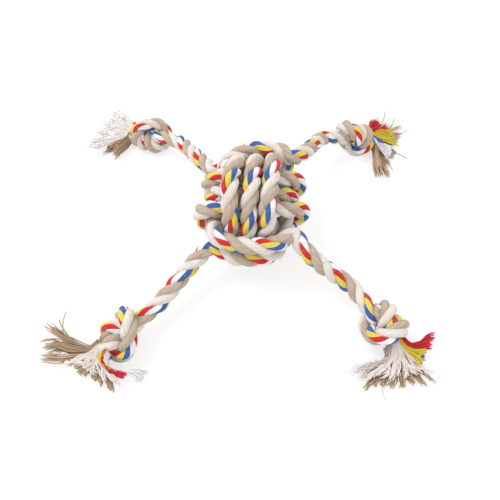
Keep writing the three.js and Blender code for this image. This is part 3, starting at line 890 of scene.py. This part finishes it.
def layer_height(layer, x, y, root_height, up_share):
    """A height between the bottom and top of a layer. The layer starts as its part of the
    rope's end and eases down to the floor."""
    away = x + np.maximum(0, np.abs(y) - rope_radius)
    eased = smoothstep(away, 0, settle_run)
    half = rope_radius * 0.85
    low = (root_height - half) * (1 - eased) + seat_gap * eased
    middle = root_height * (1 - eased) + tassel_low_top * eased
    high = (root_height + half) * (1 - eased) + tassel_high_top * eased
    bottom = middle + layer_gap if layer == "high" else low
    top = middle if layer == "low" else high
    return (bottom + top) / 2 + (top - bottom) / 2 * up_share


def lock_paths(arm, lock, count, style):
    """Yarn paths of one lock. Each yarn has an across share and an up share in the unit disc,
    spread as a sunflower's seeds are. Towards its tip each is drawn in to the middle of its
    wisp, and a wisp waves as one while its yarns wave a little of their own."""
    layer, roots, fan, length_share = lock
    number = np.arange(count)
    spread = np.sqrt((number + 0.5) / count)
    spin = number * 2.39996 + luck.uniform(0, 6)
    across = spread * np.cos(spin)
    up_share = spread * np.sin(spin)
    wisp_count = 1 + int((fan[1] - fan[0]) / 12)
    wisp = np.floor((across + 1) / 2 * wisp_count).astype(int)
    share = np.linspace(0, 1, yarn_steps)[None, :]
    gathered = ((wisp + 0.5) / wisp_count * 2 - 1 - across)[:, None] * share * style["gather"]
    length = tassel_length * length_share * luck.uniform(*style["lengths"], count)
    run = length[:, None] * share
    fan = np.radians(fan)
    middle_share = 0.5 + 0.5 * (across[:, None] + gathered)
    wider = style["wider"]
    right_x, right_y = side_line((roots[0] - wider) * rope_radius, fan[0] - 0.1, run)
    left_x, left_y = side_line((roots[1] + wider) * rope_radius, fan[1] + 0.1, run)
    x = right_x + (left_x - right_x) * middle_share
    y = right_y + (left_y - right_y) * middle_share
    z = layer_height(layer, x, y, arm["root_z"], up_share[:, None])
    for size, own in ((wisp_wave, wisp), (yarn_wave * style["frizz"], number)):
        rate = luck.uniform(4, 8 + 6 * style["frizz"], own.max() + 1)[own][:, None]
        waves = []
        for _ in range(3):
            start = luck.uniform(0, 6, own.max() + 1)[own][:, None]
            waves.append(size * share ** 1.4 * np.sin(share * rate + start))
        x, y, z = x + waves[0], y + waves[1], z + waves[2] * 0.7
    x = x - root_tuck * (1 - share) ** 4
    return on_floor(arm, x, y, np.maximum(z, style["radius"] * 1.4))


def on_floor(arm, x, y, z):
    """Places that are counted from a tassel's root, along and across it, as the frame's own."""
    points = np.stack([x, y, z], axis=-1) @ rotation(2, arm["bearing"] + arm["turn"]).T
    return points + [arm["root"][0], arm["root"][1], 0]


def stray_paths(arm, strays):
    """Yarns that lie apart from their lock. A heading turns evenly from its first to its last
    value, and the path adds up short steps along it while it sinks to the floor."""
    first, last, length, height = np.array(strays).T[..., None]
    share = np.linspace(0, 1, 3 * yarn_steps)[None, :]
    heading = np.radians(first + (last - first) * share ** 1.3)
    step = length / 1000 / (3 * yarn_steps - 1)
    x = np.cumsum(np.cos(heading), axis=1) * step
    y = np.cumsum(np.sin(heading), axis=1) * step
    eased = smoothstep(share, 0, 0.45)
    z = arm["root_z"] * (1 - eased) + (2 * stray_radius + height / 1000 * share) * eased
    return on_floor(arm, x, y, z)


# %% [markdown]
# The locks of each tassel, in the order of the CAD model: colour, layer, where the lock starts
# across the rope's end, how it fans out in degrees and how long it is. The coloured yarns stay
# together as flat strips, the plain ones fan out in wisps, and some have gone to fluff.
# Strays are single yarns: first and last heading, length in mm and height of the tip in mm.

# %% Tassels
locks = {
    "front_left": {
        "tan": ("tan", "full", (-0.92, -0.5), (-72, -42), 0.91),
        "tan_under": ("tan", "low", (-0.44, 0.3), (-24, 72), 0.52),
        "blue": ("blue", "low", (0.36, 0.8), (80, 88), 0.23),
        "cream": ("cream", "high", (-0.44, 0.3), (-28, 84), 0.52),
        "yellow": ("yellow", "high", (0.36, 0.44), (89, 94), 0.23),
        "red": ("red", "high", (0.5, 0.66), (99, 111), 0.48),
        "white": ("white", "high", (0.72, 0.92), (116, 128), 0.68),
    },
    "front_right": {
        "wisps": ("cream", "full", (-0.92, -0.7), (-108, -93), 0.68),
        "tan": ("tan", "low", (-0.64, 0.1), (-76, 10), 0.72),
        "blue": ("blue", "low", (0.16, 0.4), (44, 58), 0.5),
        "white": ("white", "low", (0.46, 0.86), (66, 84), 0.39),
        "cream": ("cream", "high", (-0.64, 0.1), (-82, 14), 0.6),
        "yellow": ("yellow", "high", (0.16, 0.46), (28, 56), 0.43),
        "red": ("red", "high", (0.52, 0.86), (64, 84), 0.55),
    },
    "back_left": {
        "tan": ("tan", "full", (0.5, 0.92), (64, 98), 0.62),
        "tan_under": ("tan", "low", (-0.3, 0.44), (-12, 66), 0.77),
        "blue": ("blue", "low", (-0.58, -0.36), (-48, -32), 0.32),
        "yellow": ("yellow", "low", (-0.88, -0.64), (-72, -56), 0.32),
        "cream": ("cream", "high", (-0.3, 0.44), (-12, 52), 0.98),
        "red": ("red", "high", (-0.58, -0.36), (-56, -38), 0.34),
        "white": ("white", "high", (-0.88, -0.64), (-78, -62), 0.3),
    },
    "back_right": {
        "tan": ("tan", "full", (-0.92, -0.5), (-118, -103), 0.84),
        "tan_under": ("tan", "low", (-0.44, 0.7), (-97, 2), 1),
        "white": ("white", "high", (-0.44, -0.16), (-82, -56), 0.62),
        "blue": ("blue", "high", (-0.1, 0.08), (-50, -42), 0.32),
        "yellow": ("yellow", "high", (0.14, 0.4), (-30, 6), 0.64),
        "red": ("red", "high", (0.46, 0.7), (16, 44), 0.6),
        "wisps": ("cream", "low", (0.76, 0.92), (8, 36), 0.93),
    },
}
style_values = ("radius", "number", "least", "gather", "lengths", "frizz", "wider")
styles = {
    "yarn": (0.00043, 170, 70, 0.45, (0.8, 1.1), 1, 0.3),
    "fine": (0.0003, 420, 420, 0.25, (0.8, 1.14), 1.6, 1),
    "fluff": (0.00015, 140, 140, 0.2, (0.5, 1.1), 2.5, 0.5),
    "strip": (0.00038, 60, 36, 0, (0.94, 1.03), 0.35, 0.3),
}
styles = {name: dict(zip(style_values, values)) for name, values in styles.items()}
style_of = dict(tan="yarn", cream="yarn", white="strip", blue="strip", red="strip", yellow="strip")
stray_kinds = dict(front_left="tan", front_right="cream", back_left="cream", back_right="tan")
strays = {
    "front_left": [(-42, -150, 52, 5), (-60, -105, 46, 2), (-30, -70, 44, 1), (-75, -60, 47, 4)],
    "front_right": [(-60, -110, 30, 2), (-70, -20, 34, 1), (20, 45, 32, 1)],
    "back_left": [(10, 75, 52, 4), (-5, 20, 50, 2), (60, 20, 48, 6), (30, -15, 50, 1), (50, 95, 46, 2)],
    "back_right": [(20, 62, 44, 9), (5, 50, 46, 5), (-10, 20, 45, 3), (-60, -100, 38, 1), (-30, -70, 40, 2)],
}
for place, arm in arms.items():
    arm["root"] = arm["knot"] + arm["along"] * (knot_exit * knot_stretch[0] + seat_gap)
    arm["root_z"] = arm["root"][2]
    for name, (kind, layer, roots, fan, length_share) in locks[place].items():
        style, look = styles[style_of[kind]], yarn_looks[kind]
        if name == "wisps":
            style = styles["fluff"]
        elif place == "back_left" and kind == "cream":
            style, look = styles["fine"], yarn_looks["pale"]
        count = int(np.clip((fan[1] - fan[0]) * 2, style["least"], style["number"]))
        paths = lock_paths(arm, (layer, roots, fan, length_share), count, style)
        radius = style["radius"] * luck.uniform(0.75, 1.25, count)
        piece = yarn_tubes("yarn_" + place + "_" + name, paths, radius, look, yarn_sides)
        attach(piece, "end_" + place)
        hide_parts("tassel_" + place + "_" + name)
    kind = stray_kinds[place]
    look = yarn_looks["pale" if place == "back_left" else kind]
    paths = stray_paths(arm, strays[place])
    piece = yarn_tubes("stray_" + place, paths, np.full(len(paths), stray_radius), look, yarn_sides)
    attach(piece, "end_" + place)
    print(place, "tassel made")

# %% [markdown]
# The toy lies on a white studio floor under soft light. The camera sees the floor as nearly
# white with a faint shadow, so its material is part light and part plain matt white. The light
# part shows to rays from the camera, also where they are mirrored or pass through something.

# %% Floor and light
floor_mesh = bpy.data.meshes.new("floor")
half = 3.0
floor_glow = 1.16
glow_share = 0.6
corners = [(-half, -half, 0), (half, -half, 0), (half, half, 0), (-half, half, 0)]
floor_mesh.from_pydata(corners, [], [(0, 1, 2, 3)])
floor = bpy.data.objects.new("floor", floor_mesh)
bpy.context.scene.collection.objects.link(floor)

seen_rays = ["Is Camera Ray", "Is Glossy Ray", "Is Transmission Ray"]


def seen_by_camera(look):
    """1 where the camera sees the light, straight or through another surface, and else 0."""
    return sum(look.node("ShaderNodeLightPath", {}, {}, name) for name in seen_rays)


floor_look = Look(bpy.data.materials.new("floor"))
floor_look.feed(Base_Color=(0.9, 0.9, 0.9, 1), Roughness=1, Specular_IOR_Level=0)
seen = seen_by_camera(floor_look)
glow = floor_look.node("ShaderNodeEmission", {}, {"Color": (1, 1, 1, 1), "Strength": floor_glow})
plain = Wire(floor_look, floor_look.shader.outputs[0])
mixed = floor_look.node("ShaderNodeMixShader", {}, {0: seen * glow_share, 1: plain, 2: glow})
floor_look.tree.links.new(mixed.socket, floor_look.tree.nodes["Material Output"].inputs["Surface"])
floor_mesh.materials.append(floor_look.owner)

world = bpy.data.worlds.new("studio")
bpy.context.scene.world = world
sky = Look(world, "Background")
span = {"Value": seen_by_camera(sky), "To Min": 0.8, "To Max": 1}
sky.feed(Color=(1, 1, 1, 1), Strength=sky.node("ShaderNodeMapRange", {}, span))


def soft_lamp(name, place, size, power):
    """A square area lamp that faces the toy."""
    lamp = bpy.data.objects.new(name, bpy.data.lights.new(name, "AREA"))
    bpy.context.scene.collection.objects.link(lamp)
    lamp.data.shape = "SQUARE"
    lamp.data.size = size
    lamp.data.energy = power
    lamp.location = place
    x, y, z = place
    lamp.rotation_euler = (math.atan2(math.hypot(x, y), z), 0, math.atan2(y, x) + math.pi / 2)


lamps = {
    "key_lamp": dict(place=(-0.7, 0.3, 1.1), size=0.6, power=7.5),
    "fill_lamp": dict(place=(0.9, -0.9, 1.0), size=0.9, power=2.5),
}
for name, values in lamps.items():
    soft_lamp(name, **values)
bpy.context.scene.view_settings.view_transform = "Standard"
print("floor and lamps set")
